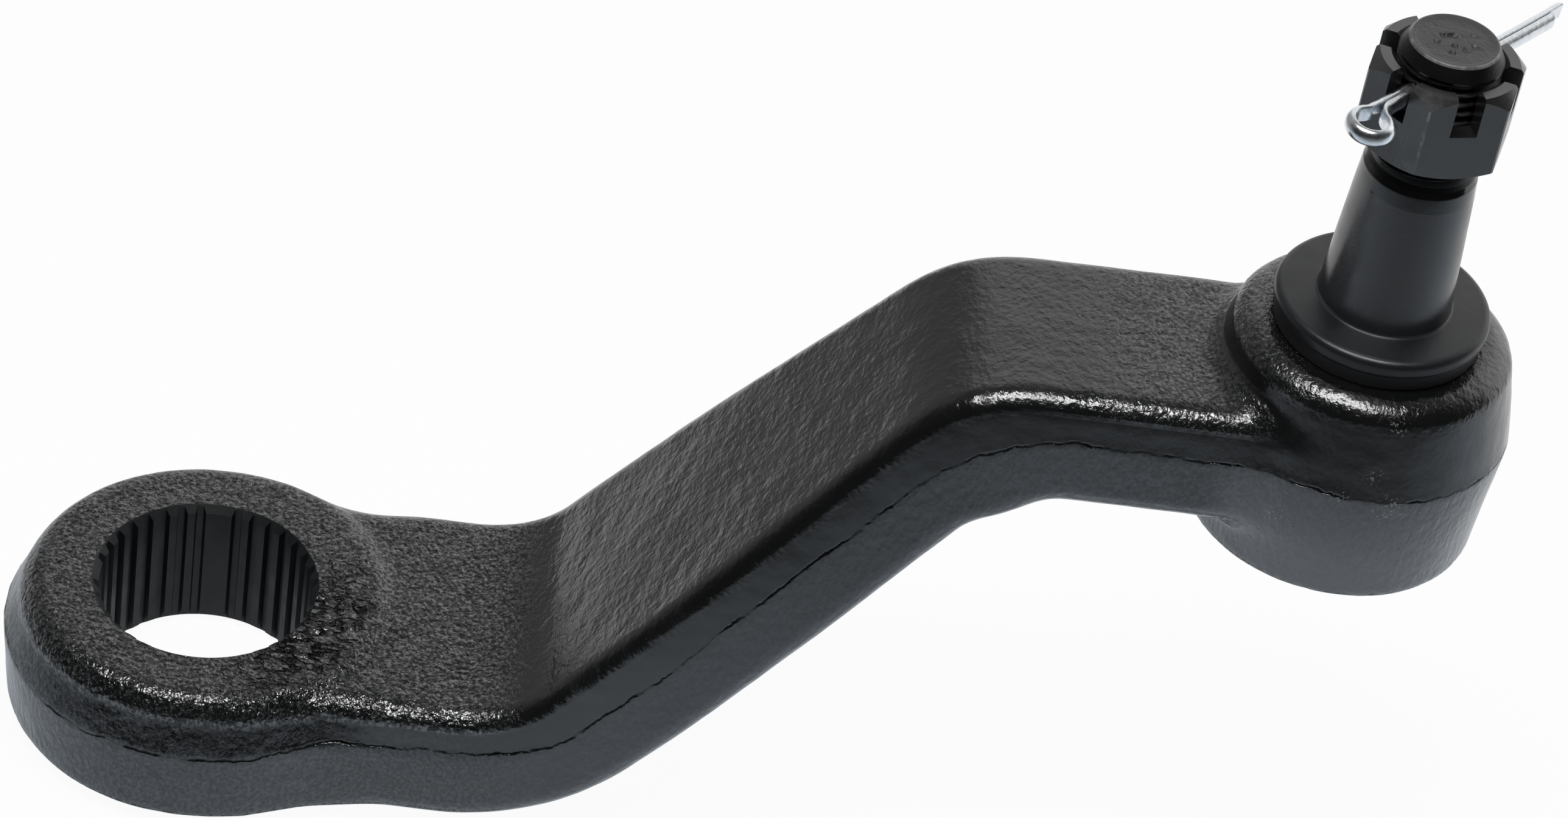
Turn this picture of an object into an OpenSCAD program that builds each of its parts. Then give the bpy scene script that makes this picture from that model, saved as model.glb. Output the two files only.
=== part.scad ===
// Pitman arm: a forged steering arm with a splined eye for the sector shaft, an S-bent
// beam, and a boss in which a tapered stud turns in two flanged bushings.
// Frame: origin in the middle of the splined bore, +Z along the bore axis, +X towards
// the stud. Lengths are millimetres and angles are degrees.

/* [Arm] */
// Distance from the bore axis to the stud axis
centre_distance = 155; // [145:1:170]
// Height of the boss end of the beam above its eye end
rise = 67; // [58:0.5:76]
// Slope of the beam between its two bends
slope_angle = 51; // [44:1:58]
// Radius of the lower bend along the middle of the beam
lower_bend_r = 27; // [22:1:32]
// Radius of the upper bend along the middle of the beam
upper_bend_r = 26; // [20:1:30]
// How far the middle of the slope lies past halfway, towards the boss
slope_shift = -1.2; // [-4:0.1:4]
// Thickness of the beam at the eye
beam_eye_t = 20; // [18:0.2:20.4]
// Thickness of the beam along its slope
beam_slope_t = 18.2; // [16:0.2:20]
// Thickness of the beam at the boss
beam_boss_t = 18.8; // [17:0.2:22]
// Width of the beam at the parting line, eye end
beam_w_eye = 46; // [40:0.5:50]
// Width of the beam at the parting line, boss end
beam_w_boss = 34.5; // [29:0.5:36]
// Distance from the start of the lower bend to where the beam starts to narrow
narrow_from = 26; // [18:1:42]
// How much thicker the beam is in the middle of its upper bend
upper_bend_swell = 2.8; // [0:0.2:3.2]
// Rounding of the beam's long edges
beam_edge_r = 4.5; // [2:0.5:5.5]
// Height of the parting line above the middle of the forging
parting_lift = 3; // [0:0.5:3]
// Draft of the beam's flanks above the parting line
draft_up = 8.5; // [4:0.5:10]
// Draft of the beam's flanks below the parting line
draft_down = 2; // [1:0.5:5]
// Radius of the neck where the beam widens into the eye
eye_neck_r = 60; // [20:2:80]
// Radius of the neck where the beam widens into the boss
boss_neck_r = 9; // [5:1:14]

/* [Splined eye] */
// Height of the eye along the bore
eye_height = 22.2; // [21.6:0.2:26]
// Diameter of the eye at the parting line
eye_d = 57; // [54:0.5:62]
// Lean of the eye's flank above the parting line, taken on the radius
eye_draft_up = 3.2; // [1:0.2:3.4]
// Lean of the eye's flank below the parting line, taken on the radius
eye_draft_down = 0.8; // [0.2:0.2:2]
// Rounding of the eye's upper edge
eye_edge_r = 3.5; // [2:0.5:5]
// Rounding of the eye's lower edge
eye_foot_r = 3.5; // [1:0.5:5.5]
// Diameter over the spline lands
land_d = 30.4; // [28:0.1:32]
// Depth of the spline grooves
groove_depth = 0.8; // [0.5:0.1:1.2]
// Spline positions round the bore
spline_positions = 36; // [24:4:44]
// Positions left blank, so that the arm fits its shaft only one way in each quarter
blank_positions = 4; // [2, 4]
// Width of a groove as a share of the spline pitch
groove_share = 0.58; // [0.4:0.02:0.66]
// Flank angle of a groove, from its centre line
groove_flank = 20; // [5:1:30]
// How far the lead-in chamfer reaches past the groove bottoms
chamfer_reach = 0.3; // [0.1:0.1:1]

/* [Boss] */
// Diameter of the boss at the parting line
boss_d = 43.4; // [41:0.2:48]
// Height of the boss above the beam's middle line
boss_up = 16.5; // [15:0.1:19]
// Depth of the boss below the beam's middle line
boss_down = 15.7; // [15.4:0.1:19]
// Lean of the boss's flank above the parting line, taken on the radius
boss_draft_up = 2.6; // [1:0.2:3]
// Lean of the boss's flank below the parting line, taken on the radius
boss_draft_down = 1.4; // [0.6:0.2:2]
// Rounding of the boss's upper shoulder
boss_shoulder_r = 4.4; // [2:0.2:5]
// Rounding of the boss's lower edge
boss_foot_r = 1.4; // [0.6:0.2:2]

/* [Stud] */
// Diameter of the journal that turns in the bushings
journal_d = 20; // [18:0.1:21]
// Diameter of the collar
collar_d = 29.6; // [29:0.2:32]
// Thickness of the collar
collar_t = 2.3; // [1.8:0.1:3.5]
// Rounding of the collar's upper edge
collar_edge_r = 1.1; // [0.5:0.1:1.5]
// Diameter of the taper at the collar
taper_big_d = 18.3; // [17.5:0.1:19.5]
// Length of the taper
taper_l = 23; // [20:0.5:26]
// Length over which the taper loses 1 mm of diameter
taper_ratio = 8; // [7:1:12]
// Diameter of the threaded end
thread_d = 14; // [13:0.1:14.4]
// Height of the stud above the collar
stud_l = 42.5; // [41:0.5:50]
// Height of the chamfer on the stud's end
end_chamfer_h = 2; // [1:0.1:3]
// Diameter of the stud's flat end
end_face_d = 11.8; // [10:0.1:12.6]
// Diameter of the spigot that is riveted over the retaining washer
spigot_d = 14; // [10:0.5:15]
// How far the riveted head stands out past the spigot
rivet_w = 1.5; // [1:0.1:2]

/* [Bearing] */
// Wall of the bushings
bushing_wall = 2.5; // [1.5:0.1:2.8]
// Radial clearance of the journal in the bushings
running_clearance = 0.05; // [0.02:0.01:0.1]
// Radial clearance of the bushings in the boss
seat_clearance = 0.02; // [0.01:0.01:0.05]
// Thickness of the bushing flanges
bushing_flange_t = 2; // [1.5:0.1:2.6]
// How far the bushing flanges stand out past the sleeves
bushing_flange_w = 0.7; // [0.4:0.1:1]
// Gap for grease between the two bushings
grease_gap = 2; // [1:0.5:4]
// Height of the dust seal under the collar
seal_h = 2.4; // [2.2:0.1:3.2]
// Wall of the dust seal
seal_wall = 1; // [0.6:0.1:1.3]
// Axial clearance above the dust seal and beside the thrust faces
axial_clearance = 0.1; // [0.05:0.01:0.2]
// Thickness of the spring washer's sheet
spring_t = 0.5; // [0.4:0.1:0.7]
// Height of the spring washer's cone
spring_cone_h = 0.4; // [0.2:0.1:0.6]
// Radial clearance of the spring washer round the journal and in its chamber
spring_clearance = 0.3; // [0.2:0.05:0.5]
// Thickness of the retaining washer
retainer_t = 1.6; // [1.2:0.1:2]
// Height of the stud's riveted head
rivet_h = 1.2; // [0.8:0.1:1.6]
// Thickness of the cover plate
cover_t = 1.2; // [0.8:0.1:1.5]
// Thickness of the lip that is rolled over the cover plate
lip_t = 1.2; // [0.8:0.1:1.5]
// How far the lip reaches in under the cover plate
lip_w = 1.4; // [0.8:0.1:2]

/* [Castle nut] */
// Width across the flats
nut_af = 19; // [18.4:0.1:22]
// Height of the nut
nut_h = 12.6; // [11:0.2:13.4]
// Height of the nut's lower face above the collar
nut_lift = 27.2; // [26.4:0.1:29.5]
// Angle of the chamfer on the corners of the nut's lower face
nut_foot_angle = 30; // [15:5:45]
// How far the chamfer of the nut's crown reaches in from the flats
nut_chamfer = 0.3; // [0.2:0.1:1]
// Turn of the nut and the cotter pin about the stud
nut_turn = 13; // [0:1:59]
// Width of the slots
slot_w = 3.7; // [3.5:0.1:4.2]
// Depth of the slots
slot_depth = 5.9; // [5.2:0.1:6.4]
// Radial clearance of the nut round the threaded end
thread_clearance = 0.05; // [0.02:0.01:0.1]

/* [Cotter pin] */
// Diameter of the two half-round legs together
pin_d = 2.5; // [2:0.1:3.2]
// Radial clearance of the pin in its hole
pin_clearance = 0.2; // [0.1:0.05:0.3]
// Height of the pin's axis above the floor of the slots
pin_lift = 3.1; // [2:0.1:3.6]
// How far the pin lies askew, as a share of its play in the slots
pin_skew = 0.8; // [0:0.1:0.9]
// Roll of the pin about its own axis
pin_roll = -86; // [-90:1:0]
// Inner diameter of the pin's eye
pin_eye_d = 4.3; // [3.8:0.1:5]
// How far the middle of the pin's eye lies to one side of the legs
pin_eye_drop = 1.5; // [0:0.1:1.6]
// Radius of the bends where the pin's eye runs back into its legs
pin_back_r = 3; // [2:0.1:3.4]
// Distance from the nut's flat to the middle of the pin's eye
pin_eye_out = 7.7; // [6.6:0.1:9]
// Length of the longer leg past the nut's flat
pin_tail_l = 15.4; // [10:0.2:18]
// How much shorter the other leg is
pin_leg_step = 2.6; // [0.5:0.1:3.4]
// How far the tail is bent up at its tip
pin_tail_rise = 0.3; // [0:0.1:2]

/* [Hidden] */
$fn = 96;

// Overlap of a cut past the face that it opens
past = 1;
// Angle from one corner of the hexagon nut to the next
hex_step = 60;
// Turn of the cotter pin, which passes through two opposite flats of the nut
pin_play = asin((slot_w - pin_d) / nut_af);
pin_turn = nut_turn + hex_step / 2 + pin_skew * pin_play;
// Gap between the flats of the cotter pin's two legs
leg_gap = 0.1;

// Beam: the middle line runs flat from the eye, up the slope and flat to the boss
bends_r = lower_bend_r + upper_bend_r;
slope_l = (rise - bends_r * (1 - cos(slope_angle))) / sin(slope_angle);
run = bends_r * sin(slope_angle) + slope_l * cos(slope_angle);
lower_bend_x = (centre_distance - run) / 2 + slope_shift;
upper_bend_x = lower_bend_x + run;
narrow_x = lower_bend_x + narrow_from;
bend_steps = 10;
flat_steps = 8;
slope_steps = 6;
arc_steps = 5;
// The necks start a little inside the eye and the boss, so that they cut in cleanly
neck_bite = 0.6;

// Splined bore
land_r = land_d / 2;
groove_r = land_r + groove_depth;
bore_mouth_r = groove_r + chamfer_reach;
spline_pitch = 360 / spline_positions;
blank_every = spline_positions / blank_positions;

// Heights along the stud axis, from the boss's lower face up
boss_bottom = rise - boss_down;
boss_top = rise + boss_up;
cover_z = boss_bottom + lip_t;
pocket_top = cover_z + cover_t + axial_clearance;
rivet_z = pocket_top + axial_clearance;
retainer_z = rivet_z + rivet_h;
spring_z = retainer_z + retainer_t + axial_clearance;
lower_flange_z = spring_z + spring_t + spring_cone_h;
lower_seat = lower_flange_z + bushing_flange_t;
collar_z = boss_top + seal_h + axial_clearance;
collar_top = collar_z + collar_t;
taper_top = collar_top + taper_l;
stud_top = collar_top + stud_l;
nut_z = collar_top + nut_lift;
nut_top = nut_z + nut_h;
slot_floor = nut_top - slot_depth;
pin_z = slot_floor + pin_lift;

// Diameters along the stud axis
bushing_bore_d = journal_d + 2 * running_clearance;
bushing_od = bushing_bore_d + 2 * bushing_wall;
boss_bore_d = bushing_od + 2 * seat_clearance;
bushing_flange_d = bushing_od + 2 * bushing_flange_w;
seal_inner_d = bushing_flange_d + 2 * seat_clearance;
seal_d = seal_inner_d + 2 * seal_wall;
chamber_d = bushing_flange_d + 2 * axial_clearance;
cover_d = chamber_d + 2 * lip_w;
spring_inner_d = journal_d + 2 * spring_clearance;
spring_d = chamber_d - 2 * spring_clearance;
rivet_d = spigot_d + 2 * rivet_w;
taper_small_d = taper_big_d - taper_l / taper_ratio;
nut_corner_r = nut_af / 2 / cos(hex_step / 2);

// A value that goes smoothly from 0 to 1
function smooth(u) = let (c = max(0, min(1, u))) c * c * (3 - 2 * c);
function mix(a, b, u) = a + (b - a) * u;

// Half width of the beam: an even width, a taper over the upper part of the slope, and a
// round neck at each end
function plain_half_w(x) =
    mix(beam_w_eye, beam_w_boss, smooth((x - narrow_x) / (upper_bend_x - narrow_x))) / 2;
function necked(w, d, end_r, neck_r) =
    let (r = end_r - neck_bite,
         reach = sqrt(max(0, pow(r + neck_r, 2) - pow(w + neck_r, 2))),
         touch = reach * r / (r + neck_r),
         in = reach - max(d, touch))
    d >= reach ? w : w + neck_r - sqrt(neck_r * neck_r - in * in);
function half_w(x) =
    let (w = plain_half_w(x))
    x < centre_distance / 2
        ? necked(w, x, eye_d / 2, eye_neck_r)
        : necked(w, centre_distance - x, boss_d / 2, boss_neck_r);

// Stations along the beam's middle line: x, z and the slope there
function station(x, z, tilt) = [x, z, tilt];
function bend_up(a) =
    station(lower_bend_x + lower_bend_r * sin(a), lower_bend_r * (1 - cos(a)), a);
function bend_flat(a) =
    station(upper_bend_x - upper_bend_r * sin(a), rise - upper_bend_r * (1 - cos(a)), a);
stations = concat(
    [for (i = [0 : flat_steps - 1]) station(lower_bend_x * i / flat_steps, 0, 0)],
    [for (i = [0 : bend_steps]) bend_up(slope_angle * i / bend_steps)],
    [for (i = [1 : slope_steps - 1])
        let (a = bend_up(slope_angle), b = bend_flat(slope_angle))
        mix(a, b, i / slope_steps)],
    [for (i = [0 : bend_steps]) bend_flat(slope_angle * (1 - i / bend_steps))],
    [for (i = [1 : flat_steps])
        station(mix(upper_bend_x, centre_distance, i / flat_steps), rise, 0)]);

// Section of the beam as points [across, up]. Each quarter has a rounded edge, from the
// flat face to the flank, which leans in by its draft from the parting line.
function edge_arc(w, h, draft) =
    let (r = beam_edge_r,
         c = [w - (h - r) * tan(draft) - r / cos(draft), h - r])
    [for (i = [0 : arc_steps])
        let (a = mix(90, draft, i / arc_steps))
        c + r * [cos(a), sin(a)]];
function side(w, half_t) =
    let (lower = edge_arc(w, half_t + parting_lift, draft_down))
    concat(
        [for (p = edge_arc(w, half_t - parting_lift, draft_up))
            [p[0], parting_lift + p[1]]],
        [[w, parting_lift]],
        [for (i = [arc_steps : -1 : 0]) [lower[i][0], parting_lift - lower[i][1]]]);
function section(w, half_t) =
    let (right = side(w, half_t), n = len(right))
    concat(right, [for (i = [n - 1 : -1 : 0]) [-right[i][0], right[i][1]]]);
function beam_half_t(s) =
    let (upper = s[1] > rise / 2,
         turned = s[2] / slope_angle,
         swell = upper ? upper_bend_swell * sin(180 * turned) : 0)
    (mix(upper ? beam_boss_t : beam_eye_t, beam_slope_t, smooth(turned)) + swell) / 2;
function ring(s) =
    [for (p = section(half_w(s[0]), beam_half_t(s)))
        [s[0] - p[1] * sin(s[2]), p[0], s[1] + p[1] * cos(s[2])]];

// A closed solid through rings of equally many points
module loft(rings) {
    n = len(rings[0]);
    last = len(rings) - 1;
    sides = [for (k = [0 : last - 1], i = [0 : n - 1])
        let (j = (i + 1) % n)
        each [[k * n + i, k * n + j, (k + 1) * n + i],
              [k * n + j, (k + 1) * n + j, (k + 1) * n + i]]];
    caps = [[for (i = [n - 1 : -1 : 0]) i], [for (i = [0 : n - 1]) last * n + i]];
    polyhedron([for (r = rings) each r], concat(sides, caps), convexity = 6);
}

// What comes off a straight outline to round its corner to radius r
module corner_cut(before, corner, after, r) {
    u = (before - corner) / norm(before - corner);
    v = (after - corner) / norm(after - corner);
    half = acos(u * v) / 2;
    m = (u + v) / norm(u + v);
    centre = corner + m * r / sin(half);
    difference() {
        polygon([corner - m * past, corner + u * r / tan(half), centre,
                 corner + v * r / tan(half)]);
        translate(centre) circle(r);
    }
}

// Eye as forged, turned about the bore axis
module eye_blank() {
    r = eye_d / 2;
    h = eye_height / 2;
    parting = [r, parting_lift];
    top = [r - eye_draft_up, h];
    bottom = [r - eye_draft_down, -h];
    rotate_extrude() difference() {
        polygon([[0, -h], bottom, parting, top, [0, h]]);
        corner_cut(parting, top, [0, h], eye_edge_r);
        corner_cut(parting, bottom, [0, -h], eye_foot_r);
    }
}

// Boss as forged, turned about the stud axis
module boss_blank() {
    r = boss_d / 2;
    parting = [r, parting_lift];
    top = [r - boss_draft_up, boss_up];
    bottom = [r - boss_draft_down, -boss_down];
    translate([centre_distance, 0, rise]) rotate_extrude() difference() {
        polygon([[0, -boss_down], bottom, parting, top, [0, boss_up]]);
        corner_cut(parting, top, [0, boss_up], boss_shoulder_r);
        corner_cut(parting, bottom, [0, -boss_down], boss_foot_r);
    }
}

// One spline groove in plan, pointing along +X
module groove() {
    half = PI * land_r * groove_share / spline_positions;
    floor_half = half - groove_depth * tan(groove_flank);
    polygon([[0, -half], [land_r, -half], [groove_r, -floor_half],
             [groove_r, floor_half], [land_r, half], [0, half]]);
}

// What is broached out of the eye: the lands' bore, the grooves and a chamfer at each end
module splined_bore() {
    l = eye_height + 2 * past;
    translate([0, 0, -l / 2]) linear_extrude(l) {
        circle(land_r);
        for (i = [0 : spline_positions - 1])
            if (i % blank_every != 0)
                rotate(i * spline_pitch) groove();
    }
    for (end = [0, 1]) mirror([0, 0, end])
        translate([0, 0, eye_height / 2 - bore_mouth_r])
            cylinder(r1 = 0, r2 = bore_mouth_r + past, h = bore_mouth_r + past);
}

// What is bored out of the boss, from its lower face up
module bearing_bore() {
    translate([centre_distance, 0, 0]) {
        translate([0, 0, boss_bottom - past])
            cylinder(d = chamber_d, h = lower_seat - boss_bottom + past);
        translate([0, 0, cover_z])
            cylinder(d = cover_d + 2 * seat_clearance, h = pocket_top - cover_z);
        translate([0, 0, cover_z])
            cylinder(d = boss_bore_d, h = boss_top + past - cover_z);
    }
}

// Forged and machined arm: eye, beam and boss in one piece
module arm_forging() color("dimgray") difference() {
    union() {
        eye_blank();
        loft([for (s = stations) ring(s)]);
        boss_blank();
    }
    splined_bore();
    bearing_bore();
}

// Tapered stud with its collar, journal and riveted lower end
module stud() color("darkslategray") translate([centre_distance, 0, 0]) difference() {
    rotate_extrude() difference() {
        polygon([
            [0, rivet_z],
            [rivet_d / 2 - rivet_h / 2, rivet_z],
            [rivet_d / 2, rivet_z + rivet_h / 2],
            [rivet_d / 2, retainer_z],
            [spigot_d / 2, retainer_z],
            [spigot_d / 2, retainer_z + retainer_t],
            [journal_d / 2, retainer_z + retainer_t],
            [journal_d / 2, collar_z],
            [collar_d / 2, collar_z],
            [collar_d / 2, collar_top],
            [taper_big_d / 2, collar_top],
            [taper_small_d / 2, taper_top],
            [thread_d / 2, taper_top + (taper_small_d - thread_d) / 2],
            [thread_d / 2, stud_top - end_chamfer_h],
            [end_face_d / 2, stud_top],
            [0, stud_top]]);
        corner_cut([collar_d / 2, collar_z], [collar_d / 2, collar_top], [0, collar_top],
                   collar_edge_r);
    }
    translate([0, 0, pin_z]) rotate([0, 90, pin_turn])
        cylinder(d = pin_d + 2 * pin_clearance, h = thread_d + 2 * past, center = true);
}

// Slotted hexagon nut, chamfered at both ends
module castle_nut() color("dimgray") translate([centre_distance, 0, nut_z])
    rotate(nut_turn) difference() {
        intersection() {
            cylinder(r = nut_corner_r, h = nut_h, $fn = 6);
            nut_turning();
        }
        translate([0, 0, -past])
            cylinder(r = thread_d / 2 + thread_clearance, h = nut_h + 2 * past);
        for (i = [0 : 2])
            rotate((i + 0.5) * hex_step) translate([-nut_corner_r, -slot_w / 2, nut_h - slot_depth])
                cube([2 * nut_corner_r, slot_w, slot_depth + past]);
    }

// Round form that chamfers the nut's corners
module nut_turning() {
    face_r = nut_af / 2 - nut_chamfer;
    reach = nut_corner_r + past;
    rotate_extrude() polygon([
        [0, 0], [nut_af / 2, 0], [reach, (reach - nut_af / 2) * tan(nut_foot_angle)],
        [reach, nut_h - (reach - face_r)], [face_r, nut_h], [0, nut_h]]);
}

// Cotter pin: a half-round wire folded back on itself round an eye
flat = nut_af / 2;
eye_in_r = pin_eye_d / 2;
eye_centre = [-(flat + pin_eye_out), -pin_eye_drop];
eye_steps = 14;
back_steps = 5;
tail_steps = 4;
// Where the eye meets the bend into a leg, as an angle round the eye from the pin's axis
function back_angle(side) =
    asin((leg_gap / 2 + pin_back_r + side * pin_eye_drop) / (eye_in_r + pin_back_r));
function back_bend(side) =
    let (a = back_angle(side),
         c = eye_centre + (eye_in_r + pin_back_r) * [cos(a), side * sin(a)])
    [for (i = [0 : back_steps])
        let (t = mix(90, 180 - a, i / back_steps))
        c + pin_back_r * [cos(t), -side * sin(t)]];
function tail_rise(a) = pin_tail_rise * pow(max(0, a - flat) / pin_tail_l, 2);
function leg(a, side) = [a, side * leg_gap / 2 + tail_rise(a)];
pin_line = concat(
    [for (i = [tail_steps : -1 : 0]) leg(flat + pin_tail_l * i / tail_steps, 1)],
    [leg(0, 1)],
    back_bend(1),
    [for (i = [1 : eye_steps - 1])
        let (t = mix(back_angle(1), 360 - back_angle(-1), i / eye_steps))
        eye_centre + eye_in_r * [cos(t), sin(t)]],
    [for (i = [back_steps : -1 : 0]) back_bend(-1)[i]],
    [leg(0, -1)],
    [for (i = [0 : tail_steps])
        leg(flat + (pin_tail_l - pin_leg_step) * i / tail_steps, -1)]);
function heading(i) =
    let (d = pin_line[min(i + 1, len(pin_line) - 1)] - pin_line[max(i - 1, 0)])
    d / norm(d);
wire_steps = 8;
function wire_ring(i) =
    let (h = heading(i), out = [h[1], -h[0]], r = (pin_d - leg_gap) / 2)
    [for (k = [0 : wire_steps])
        let (t = 180 * k / wire_steps, p = pin_line[i] + out * r * sin(t))
        [p[0], -(pin_d / 2) * cos(t), p[1]]];
module cotter_pin() color("silver")
    translate([centre_distance, 0, pin_z]) rotate(pin_turn) rotate([pin_roll, 0, 0])
        loft([for (i = [0 : len(pin_line) - 1]) wire_ring(i)]);

// Ring on the boss that keeps dirt out from under the collar
module dust_seal() color("black") translate([centre_distance, 0, boss_top])
    tube(seal_d, seal_inner_d, seal_h);

module tube(outer_d, inner_d, h) difference() {
    cylinder(d = outer_d, h = h);
    translate([0, 0, -past]) cylinder(d = inner_d, h = h + 2 * past);
}

// Sleeve with a thrust flange on its upper end
module flanged_bushing(sleeve_l, flange_t) difference() {
    union() {
        translate([0, 0, -sleeve_l]) cylinder(d = bushing_od, h = sleeve_l + flange_t);
        cylinder(d = bushing_flange_d, h = flange_t);
    }
    translate([0, 0, -sleeve_l - past])
        cylinder(d = bushing_bore_d, h = sleeve_l + flange_t + 2 * past);
}

module upper_bushing() color("tan") translate([centre_distance, 0, boss_top])
    flanged_bushing(boss_up - grease_gap / 2, seal_h);

module lower_bushing() color("tan") translate([centre_distance, 0, lower_seat])
    mirror([0, 0, 1]) flanged_bushing(rise - grease_gap / 2 - lower_seat, bushing_flange_t);

// Cone of spring sheet that presses the lower bushing up
module spring_washer() color("lightsteelblue") translate([centre_distance, 0, spring_z])
    rotate_extrude() polygon([
        [spring_inner_d / 2, spring_cone_h],
        [spring_d / 2, 0],
        [spring_d / 2, spring_t],
        [spring_inner_d / 2, spring_cone_h + spring_t]]);

module retaining_washer() color("gray") translate([centre_distance, 0, retainer_z])
    tube(spring_d, spigot_d + 2 * seat_clearance, retainer_t);

module cover_plate() color("gray") translate([centre_distance, 0, cover_z])
    cylinder(d = cover_d, h = cover_t);

arm_forging();
stud();
castle_nut();
cotter_pin();
dust_seal();
upper_bushing();
lower_bushing();
spring_washer();
retaining_washer();
cover_plate();
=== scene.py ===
"""Looks of the pitman arm: forged and painted arm, turned stud, castle nut and cotter pin.

Lengths in this script are millimetres until a mesh is made. The frame is the CAD part's:
origin in the middle of the splined bore, +Z along the bore, +X towards the stud.
"""

from math import asin, atan, cos, hypot, pi, radians, sin, tan

import bpy
import numpy as np
from mathutils import Matrix, Vector, noise


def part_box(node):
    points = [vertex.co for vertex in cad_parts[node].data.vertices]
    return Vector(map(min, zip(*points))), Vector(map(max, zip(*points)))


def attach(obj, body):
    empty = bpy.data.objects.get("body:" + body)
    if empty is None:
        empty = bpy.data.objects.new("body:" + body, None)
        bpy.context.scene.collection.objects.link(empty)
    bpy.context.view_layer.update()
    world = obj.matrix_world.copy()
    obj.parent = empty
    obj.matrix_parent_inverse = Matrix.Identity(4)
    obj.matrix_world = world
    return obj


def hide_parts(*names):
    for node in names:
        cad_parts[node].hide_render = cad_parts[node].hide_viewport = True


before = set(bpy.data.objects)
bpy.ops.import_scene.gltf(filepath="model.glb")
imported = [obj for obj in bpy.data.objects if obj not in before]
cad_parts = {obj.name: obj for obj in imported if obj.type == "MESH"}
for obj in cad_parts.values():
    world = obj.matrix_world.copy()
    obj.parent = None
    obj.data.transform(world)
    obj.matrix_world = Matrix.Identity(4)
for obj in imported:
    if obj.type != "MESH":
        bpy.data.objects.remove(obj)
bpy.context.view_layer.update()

MM = 0.001


def cad_box(node):
    """Lowest and highest corner of a CAD node in millimetres."""
    low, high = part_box(node)
    return np.array(low) / MM, np.array(high) / MM


# Places taken from the CAD part
ARM_LOW, ARM_HIGH = cad_box("arm_forging")
STUD_LOW, STUD_HIGH = cad_box("stud")
NUT_LOW, NUT_HIGH = cad_box("castle_nut")
SEAL_LOW, SEAL_HIGH = cad_box("dust_seal")
COVER_LOW, COVER_HIGH = cad_box("cover_plate")
FLANGE_LOW, FLANGE_HIGH = cad_box("lower_bushing")
EYE_R = -ARM_LOW[0]
EYE_HALF_H = -ARM_LOW[2]
CENTRE_X = (STUD_LOW[0] + STUD_HIGH[0]) / 2
BOSS_R = ARM_HIGH[0] - CENTRE_X
BOSS_TOP = ARM_HIGH[2]
COLLAR_R = STUD_HIGH[0] - CENTRE_X
SEAL_R = SEAL_HIGH[0] - CENTRE_X
COVER_R = COVER_HIGH[0] - CENTRE_X
FLANGE_R = FLANGE_HIGH[0] - CENTRE_X
STUD_AXIS = np.array([CENTRE_X, 0, 0])

# Beam sizes, as in the CAD part
RISE = 67
SLOPE = radians(51)
LOWER_BEND_R = 27
UPPER_BEND_R = 26
SLOPE_SHIFT = -1.2
EYE_T = 20
SLOPE_T = 18.2
BOSS_T = 18.8
BEND_SWELL = 2.8
EYE_W = 46
BOSS_W = 34.5
NARROW_FROM = 26
PARTING = 3
DRAFT_UP = tan(radians(8.5))
DRAFT_DOWN = tan(radians(2))
EYE_NECK_R = 60
BOSS_NECK_R = 9
NECK_BITE = 0.6
EYE_DRAFT_UP = 3.2
EYE_DRAFT_DOWN = 0.8
BOSS_DRAFT_UP = 2.6
BOSS_DRAFT_DOWN = 1.4
BOSS_DOWN = 15.7

# Edges of the forging, tighter than in the CAD part
EDGE_R = 3.2
FOOT_R = 4.3
EYE_EDGE_R = 2.6
EYE_FOOT_R = 1.8
BOSS_SHOULDER_R = 3.8
BOSS_FOOT_R = 0.9

# Middle line of the beam
BENDS_R = LOWER_BEND_R + UPPER_BEND_R
SLOPE_L = (RISE - BENDS_R * (1 - cos(SLOPE))) / sin(SLOPE)
RUN = BENDS_R * sin(SLOPE) + SLOPE_L * cos(SLOPE)
LOWER_BEND_X = (CENTRE_X - RUN) / 2 + SLOPE_SHIFT
UPPER_BEND_X = LOWER_BEND_X + RUN
SLOPE_X = LOWER_BEND_X + LOWER_BEND_R * sin(SLOPE)
SLOPE_Z = LOWER_BEND_R * (1 - cos(SLOPE))
NARROW_X = LOWER_BEND_X + NARROW_FROM

# Soft blends that only the looks have
PAD_R = 24.3
PAD_STEP_W = 3
EYE_FADE_FROM = EYE_R + 0.5
EYE_FADE_W = 8
BOSS_BLEND = 3
NECK_BLEND = 3

# Splined bore
LAND_R = 15.2
GROOVE_R = 16.0
BORE_MOUTH_R = 16.3
SPLINES = 36
BLANK_EVERY = 9
GROOVE_SHARE = 0.58
GROOVE_FLANK = radians(20)
MOUTH_REACH = 3

# Bearing in the boss
BUSHING_WALL = 2.5
BUSHING_FLANGE_T = 2
RUNNING_CLEARANCE = 0.05
SEAT_CLEARANCE = 0.02
PLAY = 0.1
LIP_CHAMFER = 0.8
PAST = 2

# Stud
COLLAR_Z = 86.0
COLLAR_TOP = 88.3
JOURNAL_R = 10
RIVET_R = 8.5
RETAINER_Z = 55.1
RETAINER_TOP = 56.7
SPIGOT_R = 7
TAPER_BIG_R = 9.15
TAPER_SMALL_R = 7.7125
TAPER_TOP = 111.3
COLLAR_EDGE_R = 1.1
TAPER_FILLET_R = 0.5
RIVET_CHAMFER = 0.6
STUD_EDGE_R = 0.4
BAND_H = 3
SHOULDER_H = 0.8
SHOULDER_FILLET_R = 0.8
SHOULDER_EDGE_R = 0.3
NECK_R = TAPER_SMALL_R - 0.4
THREAD_R = 7
THREAD_PITCH = 1.5
THREAD_DEPTH = 0.85
THREAD_FROM = 1.5
THREAD_ROWS_FROM = 1.6
THREAD_ROW_H = 0.12
THREAD_FILLET_R = 0.15
THREAD_STARTS = 0.8
THREAD_FADE_IN = 1.2
THREAD_FADE_OUT = 0.9
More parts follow.
